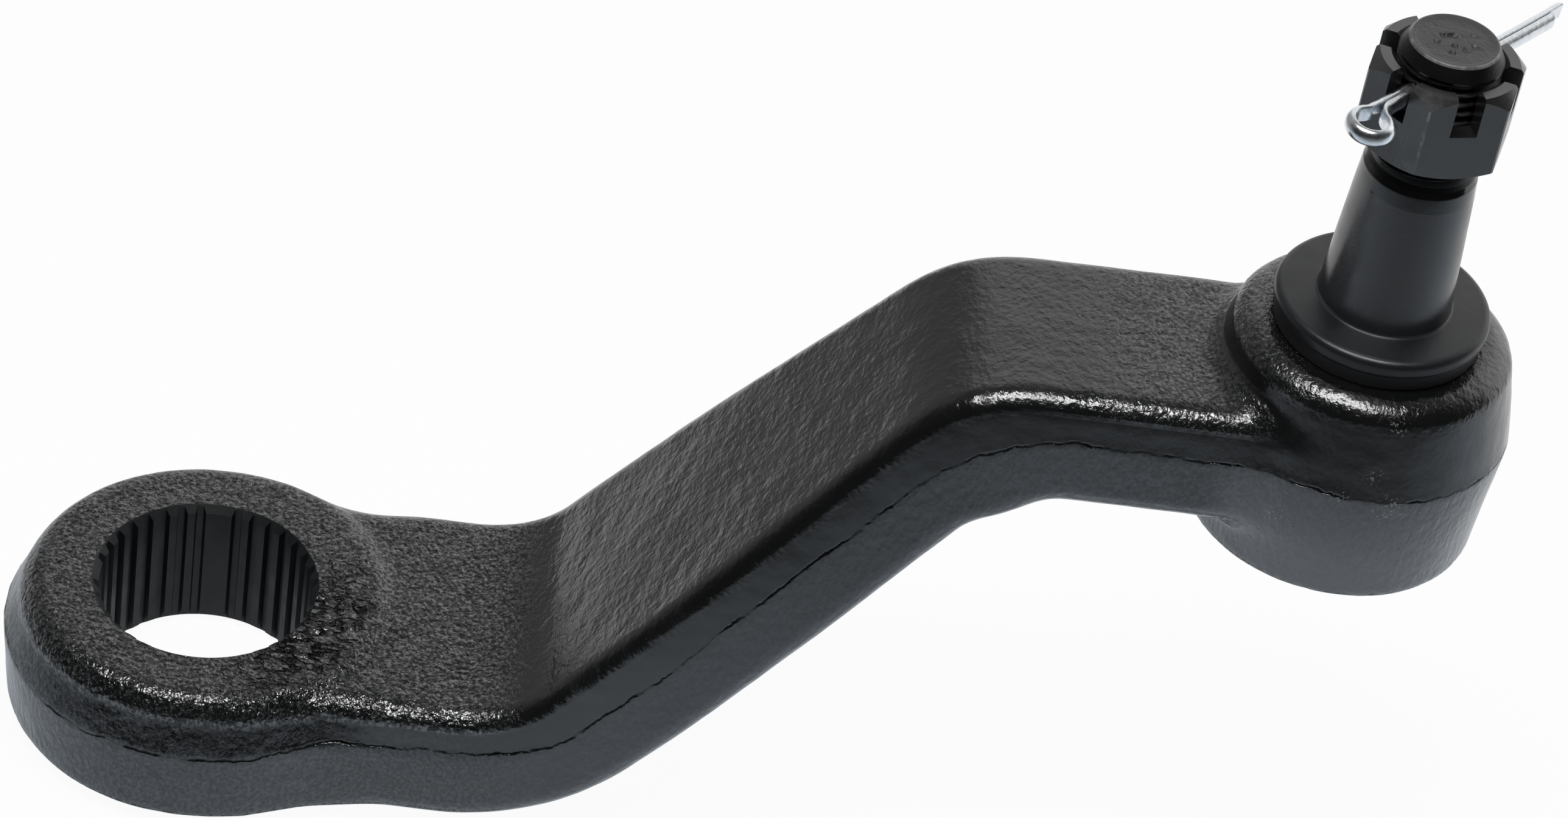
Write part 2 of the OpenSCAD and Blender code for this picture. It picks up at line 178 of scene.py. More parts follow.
THREAD_STEEPNESS = 1.25
THREAD_CREST = 0.12
END_CHAMFER_H = 2
END_R = 5.9
RIM_R = 0.3
RIM_W = 0.5
RIM_H = 0.3
FACE_IN = 0.95
FACE_SINK = 0.22
FACE_DEPTH = 0.7
FACE_ROW = 0.2

# Rough patch on the stud's end
PATCH_X = -0.3
PATCH_Y = 0.2
PATCH_R = 3.2
PATCH_DEPTH = 0.38
PATCH_GRAIN = 1.3
END_SCALE = 0.1
END_SCALE_GRAIN = 2.2

# Nut and cotter pin
NUT_FLAT = 9.5
NUT_BORE_R = 7.05
NUT_WORN = 0.22
NUT_FOOT = radians(30)
NUT_CROWN = radians(48)
NUT_CROWN_IN = 0.2
NUT_MOUTH = 0.8
NUT_PAST = 1
NUT_TURN = radians(13)
SLOT_W = 3.7
SLOT_DEPTH = 5.9
PIN_Z = 125.3
PIN_D = 2.5
PIN_HOLE_R = 1.45
PIN_HOLE_HALF = 12
PIN_SKEW = 0.8
PIN_TURN = NUT_TURN + pi / 6 + PIN_SKEW * asin((SLOT_W - PIN_D) / (2 * NUT_FLAT))
PIN_ROLL = radians(-86)
PIN_EYE_R = 2.15
PIN_EYE_DROP = 1.5
PIN_BACK_R = 3
PIN_EYE_OUT = 7.7
PIN_TAIL_L = 15.4
PIN_LEG_STEP = 2.6
PIN_TAIL_RISE = 0.3
PIN_TIP_SLANT = 0.7
WIRE_EASE = 0.22
LEG_GAP = 0.1


# Shapes as fields: negative inside, in millimetres


def smooth(u):
    """A value that goes smoothly from 0 to 1."""
    c = np.clip(u, 0, 1)
    return c * c * (3 - 2 * c)


def mix(a, b, u):
    return a + (b - a) * u


def rounded_max(a, b, r):
    """Inside both fields, with the edge where they meet rounded to radius r."""
    corner = np.hypot(np.maximum(a + r, 0), np.maximum(b + r, 0))
    return np.minimum(np.maximum(a, b), -r) + corner


def soft_min(a, b, r):
    """Inside either field, with the corner where they meet filled over a width r."""
    near = np.maximum(r - np.abs(a - b), 0) / r
    return np.minimum(a, b) - near * near * r / 4


def along_beam(x, z):
    """Station along x, height above the middle line and share of the full slope."""
    up_slope = (x - SLOPE_X) * cos(SLOPE) + (z - SLOPE_Z) * sin(SLOPE)
    low_turn = np.arctan2(x - LOWER_BEND_X, LOWER_BEND_R - z)
    top_turn = np.arctan2(UPPER_BEND_X - x, z - RISE + UPPER_BEND_R)
    where = [x < LOWER_BEND_X, x > UPPER_BEND_X, up_slope < 0, up_slope > SLOPE_L]
    station = np.select(
        where,
        [
            x,
            x,
            LOWER_BEND_X + LOWER_BEND_R * np.sin(low_turn),
            UPPER_BEND_X - UPPER_BEND_R * np.sin(top_turn),
        ],
        SLOPE_X + up_slope * cos(SLOPE),
    )
    height = np.select(
        where,
        [
            z,
            z - RISE,
            LOWER_BEND_R - np.hypot(x - LOWER_BEND_X, z - LOWER_BEND_R),
            np.hypot(x - UPPER_BEND_X, z - RISE + UPPER_BEND_R) - UPPER_BEND_R,
        ],
        (z - SLOPE_Z) * cos(SLOPE) - (x - SLOPE_X) * sin(SLOPE),
    )
    turned = np.select(where, [0 * x, 0 * x, low_turn / SLOPE, top_turn / SLOPE], 1)
    return station, height, np.clip(turned, 0, 1)


def necked(w, d, end_r, neck_r):
    """Half width w, widened by a round neck near an end of radius end_r at distance d."""
    r = end_r - NECK_BITE
    reach = np.sqrt(np.maximum((r + neck_r) ** 2 - (w + neck_r) ** 2, 0))
    inward = np.maximum(reach - np.maximum(d, reach * r / (r + neck_r)), 0)
    return w + neck_r - np.sqrt(neck_r**2 - inward**2)


def half_width(x):
    share = smooth((x - NARROW_X) / (UPPER_BEND_X - NARROW_X))
    w = mix(EYE_W, BOSS_W, share) / 2
    low = necked(w, x, EYE_R, EYE_NECK_R)
    return np.where(x < CENTRE_X / 2, low, necked(w, CENTRE_X - x, BOSS_R, BOSS_NECK_R))


def beam_half_t(x, turned):
    upper = x > CENTRE_X / 2
    swell = np.where(upper, BEND_SWELL * np.sin(pi * turned) ** 2, 0)
    return (mix(np.where(upper, BOSS_T, EYE_T), SLOPE_T, smooth(turned)) + swell) / 2


def drafted(height, lean_up, lean_down):
    """How far a flank has leaned in at a height above the parting line."""
    return np.where(height > 0, lean_up * height, -lean_down * height)


def beam_and_eye(x, y, z):
    station, height, turned = along_beam(x, z)
    across = np.hypot(x, y)
    strip = np.maximum(np.abs(y) - half_width(station), -x)
    plan = soft_min(across - EYE_R, strip, NECK_BLEND)
    eye = 1 - smooth((across - EYE_FADE_FROM) / EYE_FADE_W)
    lean_up = mix(DRAFT_UP, EYE_DRAFT_UP / (EYE_HALF_H - PARTING), eye)
    lean_down = mix(DRAFT_DOWN, EYE_DRAFT_DOWN / (EYE_HALF_H + PARTING), eye)
    flank = plan + drafted(height - PARTING, lean_up, lean_down)
    pad = 1 - smooth((across - PAD_R) / PAD_STEP_W)
    half_t = mix(beam_half_t(station, turned), EYE_HALF_H, pad)
    faces = np.abs(height) - half_t
    upper_r = mix(EDGE_R, EYE_EDGE_R, eye)
    lower_r = mix(FOOT_R, EYE_FOOT_R, eye)
    edge_r = np.where(height > 0, upper_r, lower_r)
    return np.maximum(rounded_max(flank, faces, edge_r), x - CENTRE_X)


def boss(x, y, z):
    across = np.hypot(x - CENTRE_X, y)
    height = z - RISE - PARTING
    lean_up = BOSS_DRAFT_UP / (BOSS_TOP - RISE - PARTING)
    lean_down = BOSS_DRAFT_DOWN / (BOSS_DOWN + PARTING)
    flank = across - BOSS_R + drafted(height, lean_up, lean_down)
    upper = rounded_max(flank, z - BOSS_TOP, BOSS_SHOULDER_R)
    lower = rounded_max(flank, RISE - BOSS_DOWN - z, BOSS_FOOT_R)
    return np.where(height > 0, upper, lower)


def forging(x, y, z):
    return soft_min(beam_and_eye(x, y, z), boss(x, y, z), BOSS_BLEND)


# Meshes


def surface_net(field, low, high, cell):
    """Points and quads of the surface where a field changes sign on a grid of cells."""
    axes = [np.arange(low[i], high[i] + cell, cell) for i in range(3)]
    values = field(*np.meshgrid(*axes, indexing="ij"))
    inside = values < 0
    corners = [(i, j, k) for i in (0, 1) for j in (0, 1) for k in (0, 1)]
    size = [n - 1 for n in inside.shape]
    full = [inside[i : i + size[0], j : j + size[1], k : k + size[2]] for i, j, k in corners]
    count = sum(part.astype(np.int8) for part in full)
    cells = np.argwhere((count > 0) & (count < 8))
    at = [values[tuple((cells + c).T)] for c in corners]
    total = np.zeros((len(cells), 3))
    crossings = np.zeros(len(cells))
    for a in range(8):
        for b in range(a + 1, 8):
            step = np.subtract(corners[b], corners[a])
            if np.abs(step).sum() != 1:
                continue
            crossed = (at[a] < 0) != (at[b] < 0)
            share = np.where(crossed, at[a] / np.where(crossed, at[a] - at[b], 1), 0)
            spot = np.array(corners[a]) + share[:, None] * step
            total += np.where(crossed[:, None], spot, 0)
            crossings += crossed
    points = np.array([a[0] for a in axes]) + cell * (cells + total / crossings[:, None])
    numbers = np.full(size, -1)
    numbers[tuple(cells.T)] = np.arange(len(cells))
    quads = []
    for axis in range(3):
        a, b = np.eye(3, dtype=int)[[(axis + 1) % 3, (axis + 2) % 3]]
        change = np.diff(inside, axis=axis)
        edges = np.argwhere(change)
        ring = [edges, edges - a, edges - a - b, edges - b]
        quad = np.stack([numbers[tuple(r.T)] for r in ring], 1)
        outward = inside[tuple(edges.T)]
        quads += [quad[outward], quad[~outward][:, ::-1]]
    return points, np.concatenate(quads)


def slope_of(field, points, step=0.02):
    """Outward unit direction and steepness of a field at each point."""
    parts = []
    for shift in np.eye(3) * step:
        ahead = field(*(points + shift).T)
        behind = field(*(points - shift).T)
        parts.append((ahead - behind) / (2 * step))
    rise = np.stack(parts, 1)
    steep = np.linalg.norm(rise, axis=1)
    return rise / steep[:, None], steep


def bumps(points, size, seed):
    """Smooth random values from -1 to 1 that change over about size millimetres."""
    return np.array([noise.noise(Vector(p)) for p in points / size + seed])


def waves(points, layers):
    """Sum of random waves, each given as its size, depth and seed."""
    return sum(depth * bumps(points, size, seed) for size, depth, seed in layers)


def turned_points(points, turn, at):
    """Points turned about the origin by a matrix and then moved."""
    return np.asarray(points) @ np.array(turn).T + at


def rectangle(half_x, half_y, z):
    """Corners of a level rectangle about the Z axis."""
    signs = [(-1, -1), (1, -1), (1, 1), (-1, 1)]
    return np.array([(i * half_x, j * half_y, z) for i, j in signs])


def lathe(outline, sides, closed=False, radius_at=None):
    """Points and faces of an outline of (radius, height) turned about the Z axis."""
    angles = np.arange(sides) * 2 * pi / sides
    points = []
    rows = []
    for r, z in outline:
        start = len(points)
        if r == 0:
            points.append((0, 0, z))
            rows.append([start])
            continue
        radii = np.full(sides, r) if radius_at is None else radius_at(r, z, angles)
        points += list(zip(radii * np.cos(angles), radii * np.sin(angles), [z] * sides))
        rows.append(list(range(start, start + sides)))
    faces = []
    pairs = list(zip(rows, rows[1:] + rows[:1]))
    for row, after in pairs if closed else pairs[:-1]:
        for i in range(sides):
            j = (i + 1) % sides
            face = [row[i % len(row)], row[j % len(row)], after[j % len(after)]]
            if len(after) > 1:
                face.append(after[i])
            faces.append(list(dict.fromkeys(face)))
    return np.array(points), faces


def rounded(corners, closed=False, steps=6):
    """Outline through corners of (radius, height, rounding)."""
    outline = []
    count = len(corners)
    for i, (r, z, rounding) in enumerate(corners):
        corner = np.array([r, z])
        if rounding == 0 or (not closed and i in (0, count - 1)):
            outline.append(tuple(corner))
            continue
        before = np.array(corners[i - 1][:2]) - corner
        after = np.array(corners[(i + 1) % count][:2]) - corner
        before = before / hypot(*before)
        after = after / hypot(*after)
        half = np.arccos(np.clip(before @ after, -1, 1)) / 2
        middle = (before + after) / hypot(*(before + after))
        centre = corner + middle * rounding / sin(half)
        first = corner + before * rounding / tan(half) - centre
        last = corner + after * rounding / tan(half) - centre
        sweep = pi - 2 * half
        for k in range(steps + 1):
            share = k / steps
            arm = first * sin((1 - share) * sweep) + last * sin(share * sweep)
            outline.append(tuple(centre + arm / sin(sweep)))
    return outline


def swept(rings):
    """Faces of a closed tube through rings of equally many points."""
    count = len(rings[0])
    faces = [list(range(count))[::-1]]
    for k in range(len(rings) - 1):
        for i in range(count):
            j = (i + 1) % count
            faces.append([k * count + i, k * count + j, (k + 1) * count + j, (k + 1) * count + i])
    last = (len(rings) - 1) * count
    faces.append([last + i for i in range(count)])
    return np.concatenate(rings), faces


def new_object(name, points, faces, *materials):
    data = bpy.data.meshes.new(name)
    data.from_pydata((np.asarray(points) * MM).tolist(), [], [list(f) for f in faces])
    data.update()
    for material in materials:
        data.materials.append(material)
    made = bpy.data.objects.new(name, data)
    bpy.context.scene.collection.objects.link(made)
    return made


def cut(target, tool, operation="DIFFERENCE"):
    """Cuts one object with another, which is used up. New faces keep the tool's material."""
    modifier = target.modifiers.new("cut", "BOOLEAN")
    modifier.object = tool
    modifier.operation = operation
    modifier.solver = "EXACT"
    modifier.material_mode = "TRANSFER"
    settle(target)
    bpy.data.objects.remove(tool)


def settle(target):
    """Applies an object's modifiers to its mesh."""
    bpy.context.view_layer.update()
    graph = bpy.context.evaluated_depsgraph_get()
    data = bpy.data.meshes.new_from_object(target.evaluated_get(graph))
    target.modifiers.clear()
    target.data = data


def smooth_faces(target, sharp_from=35):
    data = target.data
    data.polygons.foreach_set("use_smooth", [True] * len(data.polygons))
    data.set_sharp_from_angle(angle=radians(sharp_from))
    data.update()


def place(target, body, slot, *nodes):
    """Ties a finished piece to its CAD body and hides the nodes it stands for. The slot is not
    used.
    """
    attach(target, body)
    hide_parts(*nodes)


# Materials

# How closely marks lie along x, y and z
EVEN = (1, 1, 1)
TURNED = (0.5, 0.5, 1)
OILED = (0.3, 0.3, 1)
BROACHED = (1, 1, 0.08)
FACED = (1, 1, 0.4)
GROUND = (1, 1, 0.2)


def add(tree, kind, values=None, **settings):
    """A shader node with its settings, and values or links for its sockets."""
    made = tree.nodes.new(kind)
    for name, value in settings.items():
        setattr(made, name, value)
    for name, value in (values or {}).items():
        if isinstance(value, bpy.types.NodeSocket):
            tree.links.new(value, made.inputs[name])
        else:
            made.inputs[name].default_value = value
    return made


def math(tree, operation, a, b=0.0):
    return add(tree, "ShaderNodeMath", {0: a, 1: b}, operation=operation).outputs[0]


def product(tree, first, *others):
    for other in others:
        first = math(tree, "MULTIPLY", first, other)
    return first


def less(tree, value, share=1.0):
    """1 less a share of a value."""
    return math(tree, "SUBTRACT", 1.0, product(tree, value, share))


def ramp(tree, value, low, high, to_low, to_high):
    """A value taken smoothly from one range to another."""
    made = add(
        tree,
        "ShaderNodeMapRange",
        {"Value": value, 1: low, 2: high, 3: to_low, 4: to_high},
        interpolation_type="SMOOTHSTEP",
    )
    return made.outputs[0]


def grain(tree, size, stretch=EVEN, detail=2.0):
    """Random values from 0 to 1 over about size millimetres, in the piece's own frame."""
    where = add(tree, "ShaderNodeTexCoord").outputs["Object"]
    scale = tuple(s / (size * MM) for s in stretch)
    scaled = add(tree, "ShaderNodeMapping", {"Vector": where, "Scale": scale}).outputs[0]
    values = {"Vector": scaled, "Scale": 1.0, "Detail": detail, "Roughness": 0.5}
    return add(tree, "ShaderNodeTexNoise", values).outputs[0]


def stored(tree, name):
    """A value that the mesh carries at its points."""
    return add(tree, "ShaderNodeAttribute", attribute_name=name).outputs["Fac"]


def bumped(tree, height, depth, under=None):
    """Normal of a surface whose height goes from 0 to depth millimetres."""
    values = {"Height": height, "Distance": depth * MM, "Strength": 1.0}
    if under is not None:
        values["Normal"] = under
    return add(tree, "ShaderNodeBump", values).outputs[0]


def colours(tree, share, under, over):
    """A colour laid by a share over another, which may come from a link."""
    made = add(tree, "ShaderNodeMix", {0: share}, data_type="RGBA")
    if isinstance(under, bpy.types.NodeSocket):
        tree.links.new(under, made.inputs[6])
    else:
        made.inputs[6].default_value = (*under, 1)
    made.inputs[7].default_value = (*over, 1)
    return made.outputs[2]


def new_material(name):
    """A material with its node tree and its surface shader."""
    made = bpy.data.materials.new(name)
    made.use_nodes = True
    return made, made.node_tree, made.node_tree.nodes["Principled BSDF"]


def connect(tree, shader, **sockets):
    for name, value in sockets.items():
        socket = shader.inputs[name.replace("_", " ").title()]
        if isinstance(value, bpy.types.NodeSocket):
            tree.links.new(value, socket)
        else:
            socket.default_value = value


# Paint of the forging: bump depths in millimetres, colours and gloss
SWELL_DEPTH = 0.14
MOTTLE_DEPTH = 0.2
COARSE_DEPTH = 0.17
PIT_DEPTH = 0.1
FOLD_BUMP = 1.1
LINE_BUMP = 0.12
FACE_BLACK = (0.0045, 0.0048, 0.0050)
FLANK_BLACK = (0.0085, 0.0100, 0.0115)
# Painted reflection of the floor on the boss's trimmed flank, fullest 15 mm below the trimmed line
BOSS_REFLECTION_GREY = (0.108, 0.114, 0.126)
BOSS_REFLECTION_FROM = -15.0
# Painted shade that blackens the folds and the trimmed line
CREASE_SHADE_BLACK = (0.0012, 0.0012, 0.0012)
CHIP_GREY = (0.11, 0.11, 0.107)
SCUFF_GREY = (0.24, 0.24, 0.23)
PAINT_ROUGHNESS = (0.14, 0.24)
PAINT_SHINE = 0.9


def forging_bumps(tree, rough, calm, trimmed, folds, line):
    """Normal of the forging: swells and grit on its faces, mottled flanks, folds and line."""
    gritty = product(tree, rough, calm)
    swells = product(tree, grain(tree, 2.4, stretch=(1.1, 1, 1)), calm)
    mottle = product(tree, grain(tree, 0.9, stretch=(1, 1, 0.5), detail=4.0), trimmed)
    coarse = product(tree, grain(tree, 1.0, stretch=(1.25, 1, 1)), gritty)
    fine = grain(tree, 0.46, stretch=(1.3, 1, 1))
    sparks = ramp(tree, fine, 0.56, 0.64, 0.55, 0.0)
    sparks = product(tree, sparks, ramp(tree, rough, 0.5, 1.3, 0.0, 1.0))
    pits = product(tree, math(tree, "ADD", product(tree, fine, 0.5), sparks), gritty)
    layers = [
        (swells, SWELL_DEPTH),
        (mottle, MOTTLE_DEPTH),
        (coarse, COARSE_DEPTH),
        (pits, PIT_DEPTH),
        (less(tree, folds), FOLD_BUMP),
        (less(tree, line), LINE_BUMP),
    ]
    normal = None
    for height, depth in layers:
        normal = bumped(tree, height, depth, normal)
    return normal


def forging_colour(tree, above, trimmed, crease_shade):
    """Colour of the paint: greyer flanks, a grey painted floor reflection toward the boss's foot,
    folds and line blackened as painted shade, chips and scuffs.
    """
    # The boss's trimmed flank is greyed, more toward its foot, as a painted reflection of the floor
    foot = ramp(tree, above, BOSS_REFLECTION_FROM, 0.0, 1.0, 0.3)
    floor_reflection = product(tree, trimmed, stored(tree, "on_boss"), foot)
    chips = ramp(tree, grain(tree, 1.2, detail=2.0), 0.79, 0.82, 0.0, 1.0)
    scuffs = ramp(tree, grain(tree, 0.38, detail=1.0), 0.58, 0.7, 0.0, 0.9)
    scuffs = product(tree, scuffs, stored(tree, "scuffed"))
    colour = colours(tree, trimmed, FACE_BLACK, FLANK_BLACK)
    layers = [(floor_reflection, BOSS_REFLECTION_GREY), (crease_shade, CREASE_SHADE_BLACK), (chips, CHIP_GREY), (scuffs, SCUFF_GREY)]
    for share, over in layers:
        colour = colours(tree, share, colour, over)
    return colour


def forging_shine(tree, rough, trimmed, crease_shade):
    """Shine of the paint: flecked where it is gritty, cut as painted shade in the folds and along
    the line.
    """
    flecks = ramp(tree, grain(tree, 0.6, stretch=(1.2, 1, 1), detail=3.0), 0.4, 0.64, -0.5, 1.0)
    on_flank = product(tree, trimmed, rough, 0.35)
    flecked = math(tree, "MAXIMUM", ramp(tree, rough, 0.7, 1.5, 0.0, 1.0), on_flank)
    shine = product(tree, flecks, flecked, PAINT_SHINE)
    shine = math(tree, "ADD", shine, PAINT_SHINE)
    return product(tree, shine, less(tree, crease_shade, 0.85))


def painted_forging():
    """Black paint over a forging, with what the mesh carries about its faces and flanks."""
    made, tree, shader = new_material("forging_paint")
    flank = stored(tree, "flank")
    rough = stored(tree, "scale_pits")
    ragged = math(tree, "SUBTRACT", grain(tree, 1.6, detail=5.0), 0.5)
    above = math(tree, "ADD", stored(tree, "above_parting"), product(tree, ragged, 0.9))
    trimmed = product(tree, flank, ramp(tree, above, -0.3, 0.3, 1.0, 0.0))
    line = ramp(tree, math(tree, "ABSOLUTE", above), 0.05, 0.3, 1.0, 0.0)
    line = product(tree, line, flank, ramp(tree, grain(tree, 5), 0.42, 0.55, 0.1, 1.0))
    folds = math(tree, "SUBTRACT", grain(tree, 2.3, stretch=(0.7, 1, 1), detail=4.0), 0.5)
    folds = ramp(tree, math(tree, "ABSOLUTE", folds), 0.01, 0.07, 1.0, 0.0)
    folds = product(tree, folds, stored(tree, "torn"))
    # Folds and the trimmed line are blackened and lose their shine as painted shade
    crease_shade = math(tree, "MAXIMUM", line, folds)
    calm = product(tree, less(tree, trimmed, 0.8), less(tree, flank, 0.58))
    normal = forging_bumps(tree, rough, calm, trimmed, folds, line)
    colour = forging_colour(tree, above, trimmed, crease_shade)
    gloss = ramp(tree, grain(tree, 7, detail=3.0), 0.3, 0.7, *PAINT_ROUGHNESS)
    connect(tree, shader, base_color=colour, roughness=gloss, normal=normal)
    tree.links.new(forging_shine(tree, rough, trimmed, crease_shade), shader.inputs["Specular IOR Level"])
    return made


def dark_steel(name, colour, roughness, mark, depth, stretch=EVEN, shine=0.5):
    """Blackened steel with marks of one size, depth and direction."""
    made, tree, shader = new_material(name)
    marks = grain(tree, mark, stretch=stretch, detail=3.0)
    cloud = grain(tree, 3.5, detail=3.0)
    gloss = ramp(tree, cloud, 0.25, 0.75, roughness - 0.06, roughness + 0.06)
    connect(tree, shader, roughness=gloss, normal=bumped(tree, marks, depth))
    shader.inputs["Base Color"].default_value = (*colour, 1)
    shader.inputs["Specular IOR Level"].default_value = shine
    return made


def worn_and_glinting_edge():
    """Edge from which the black is rubbed off here and there; its light grey is partly a painted
    highlight.
    """
    made, tree, shader = new_material("nut_worn_edge_and_highlight")
    rubbed = ramp(tree, grain(tree, 1.8, detail=3.0), 0.4, 0.62, 0.0, 1.0)
    colour = colours(tree, rubbed, (0.085, 0.085, 0.086), (0.17, 0.17, 0.168))
    connect(tree, shader, base_color=colour, roughness=0.38)
    return made


def bare_metal(name, colour, roughness, mark, depth, stretch=EVEN):
    """Uncoated or plated metal with fine marks."""
    made, tree, shader = new_material(name)
    marks = grain(tree, mark, stretch=stretch, detail=2.0)
    gloss = ramp(tree, grain(tree, 1.6), 0.3, 0.7, roughness - 0.05, roughness + 0.08)
    connect(tree, shader, roughness=gloss, normal=bumped(tree, marks, depth))
    shader.inputs["Base Color"].default_value = (*colour, 1)
    shader.inputs["Metallic"].default_value = 1
    return made


PAINT = painted_forging()
BORE = dark_steel(
    "bore_black",
    (0.008, 0.009, 0.010),
    roughness=0.46,
    mark=0.3,
    depth=0.02,
    stretch=BROACHED,
    shine=0.3,
)
STUD = dark_steel(
    "stud_black",
    (0.024, 0.025, 0.028),
    roughness=0.24,
    mark=0.35,
    depth=0.012,
    stretch=TURNED,
    shine=0.9,
)
COLLAR = dark_steel(
    "collar_black", (0.010, 0.011, 0.0125), roughness=0.36, mark=0.35, depth=0.012, stretch=TURNED
)
GLOSS = dark_steel(
    "stud_oiled",
    (0.004, 0.0044, 0.005),
    roughness=0.12,
    mark=0.5,
    depth=0.02,
    stretch=OILED,
    shine=0.8,
)
# Near-black, dull thread and pin hole: painted shade of the nut's slots
THREAD_SHADE = dark_steel(
    "thread_painted_shade", (0.003, 0.003, 0.0035), roughness=0.4, mark=0.4, depth=0.03, shine=0.3
)
END = dark_steel("stud_end", (0.040, 0.041, 0.040), roughness=0.48, mark=0.5, depth=0.12)
NUT = dark_steel(
    "nut_black",
    (0.012, 0.012, 0.0125),
    roughness=0.26,
    mark=0.4,
    depth=0.015,
    stretch=FACED,
    shine=1.2,
)
NUT_EDGE_WEAR_AND_GLINT = worn_and_glinting_edge()
ZINC = bare_metal("zinc_wire", (0.80, 0.83, 0.86), roughness=0.24, mark=0.8, depth=0.03)
RUBBER = dark_steel("seal_rubber", (0.012, 0.012, 0.013), roughness=0.55, mark=0.4, depth=0.02)
BUSHING = bare_metal(
    "bushing_steel", (0.52, 0.50, 0.47), roughness=0.34, mark=0.5, depth=0.01, stretch=GROUND
)
SPRING = bare_metal("spring_steel", (0.30, 0.32, 0.36), roughness=0.36, mark=0.5, depth=0.01)
WASHER = bare_metal("washer_steel", (0.42, 0.42, 0.42), roughness=0.40, mark=0.5, depth=0.02)


# Arm forging

ARM_CELL = 0.76
ARM_MARGIN = 1.3
FITTING_STEPS = 3

# Skin of the forging: waves as size, depth and seed, and depths below the smooth form
SKIN_WAVES = [(17, 0.14, 0.3), (5.5, 0.06, 4.9)]
SCALE_WAVES = [(2.1, 0.03, 2.2)]
SKIN_SINK = 0.07
FOLD_SIZE = 2.6
FOLD_DEPTH = 0.45
FOLD_W = 0.2

# Flanks and the trimmed line on them
FLANK_UPRIGHT = 0.3
FLANK_FADE = 0.25
BOSS_FADE = 3
# Fade of the painted floor reflection onto the boss
BOSS_REFLECTION_FADE = 6
TRIM_WAVES = [(9, 0.6, 3.7), (3, 0.3, 8.1)]
TRIM_STEP = 0.16
TRIM_STEP_W = 0.7
LINE_HUMP = 1.7
LINE_HUMP_X = 36
LINE_HUMP_W = 15
LINE_DROP = 0.5

# Torn part of the eye's pad: direction, half angle, radii and height, each with its fade
TORN_TURN = -0.5
TORN_HALF = 0.75
TORN_FROM_R = LAND_R - 1
TORN_FROM_FADE = 2
TORN_TO_R = PAD_R - 2
TORN_TO_FADE = 4
TORN_Z = 5
TORN_Z_FADE = 4

# Coarseness of the scale, and the stretches of x where it is coarser or finer
SCALE_MEAN = 0.75
EYE_COARSER = 1.15
SLOPE_FINER = 0.25
BOSS_COARSER = 0.45
FLANK_FINER = 0.55
EYE_SCALE_TO = 38
SLOPE_SCALE_TO = 95
BOSS_SCALE_FROM = 112
BOSS_SCALE_TO = CENTRE_X - 15
SCALE_FADE = 14
BOSS_SCALE_FADE_IN = 16
BOSS_SCALE_FADE_OUT = 8

# Scuffs on the front of the boss, as place along x, height and radius, and along its foot
SCUFFS = [
    (157.0, 81.2, 1.5),
    (158.4, 68.4, 2.6),
    (144.6, 63.1, 1.8),
    (155.4, 73.7, 1.5),
    (151.4, 69.8, 1.3),
]
FOOT_SCUFF = 0.6
FOOT_SCUFF_UP = 0.6
FOOT_SCUFF_W = 0.7


def flank_and_line(points, normals):
    """Share of each point that lies on a flank, and its height above the trimmed line."""
    x, _, z = points.T
    _, height, turned = along_beam(x, z)
    by_boss = smooth((x - CENTRE_X + BOSS_R + BOSS_FADE) / BOSS_FADE)
    height = mix(height, z - RISE, by_boss)
    tilt = turned * SLOPE
    upright = normals[:, 2] * np.cos(tilt) - normals[:, 0] * np.sin(tilt)
    flank = 1 - smooth((np.abs(upright) - FLANK_UPRIGHT) / FLANK_FADE)
    wave = waves(points * [1, 0, 0], TRIM_WAVES)
    hump = LINE_HUMP * np.exp(-(((x - LINE_HUMP_X) / LINE_HUMP_W) ** 2))
    return flank, height - PARTING - (hump - LINE_DROP * turned) - wave


def forging_relief(points, normals):
    """How far the scale, the folds and the trimmed line lower the surface."""
    flank, height = flank_and_line(points, normals)
    above = flank * smooth(height / TRIM_STEP_W + 0.5)
    relief = waves(points, SKIN_WAVES)
    relief += waves(points * [0.7, 1, 1], SCALE_WAVES) * mix(1, 1.5, above)
    relief -= TRIM_STEP * above
    ridges = np.abs(bumps(points * [0.55, 1, 1], FOLD_SIZE, seed=6.4))
    relief -= torn_share(points) * FOLD_DEPTH * smooth(1 - ridges / FOLD_W)
    return np.minimum(relief - SKIN_SINK, 0)


def torn_share(points):
    """Where the pad of the eye is torn and folded, between the bore and the beam."""
    x, y, z = points.T
    across = np.hypot(x, y)
    off_bore = smooth((across - TORN_FROM_R) / TORN_FROM_FADE)
    on_pad = 1 - smooth((across - TORN_TO_R) / TORN_TO_FADE)
    aside = np.abs(np.arctan2(y, x) - TORN_TURN) / TORN_HALF
    return off_bore * on_pad * smooth(1.4 - aside) * smooth((z - TORN_Z) / TORN_Z_FADE)


def scuffed_share(points):
    """Where the paint of the boss is scuffed: along its foot and at a few spots in front."""
    x, y, z = points.T
    off_foot = np.abs(z - RISE + BOSS_DOWN - FOOT_SCUFF_UP) / FOOT_SCUFF_W
    share = FOOT_SCUFF * smooth(1 - off_foot) * (x > CENTRE_X - BOSS_R)
    for at_x, at_z, r in SCUFFS:
        near = smooth(1.3 - np.hypot(x - at_x, z - at_z) / r)
        share = np.maximum(share, near * (y < 0))
    return share


def carry(data, name, values):
    data.attributes.new(name, "FLOAT", "POINT").data.foreach_set("value", values)


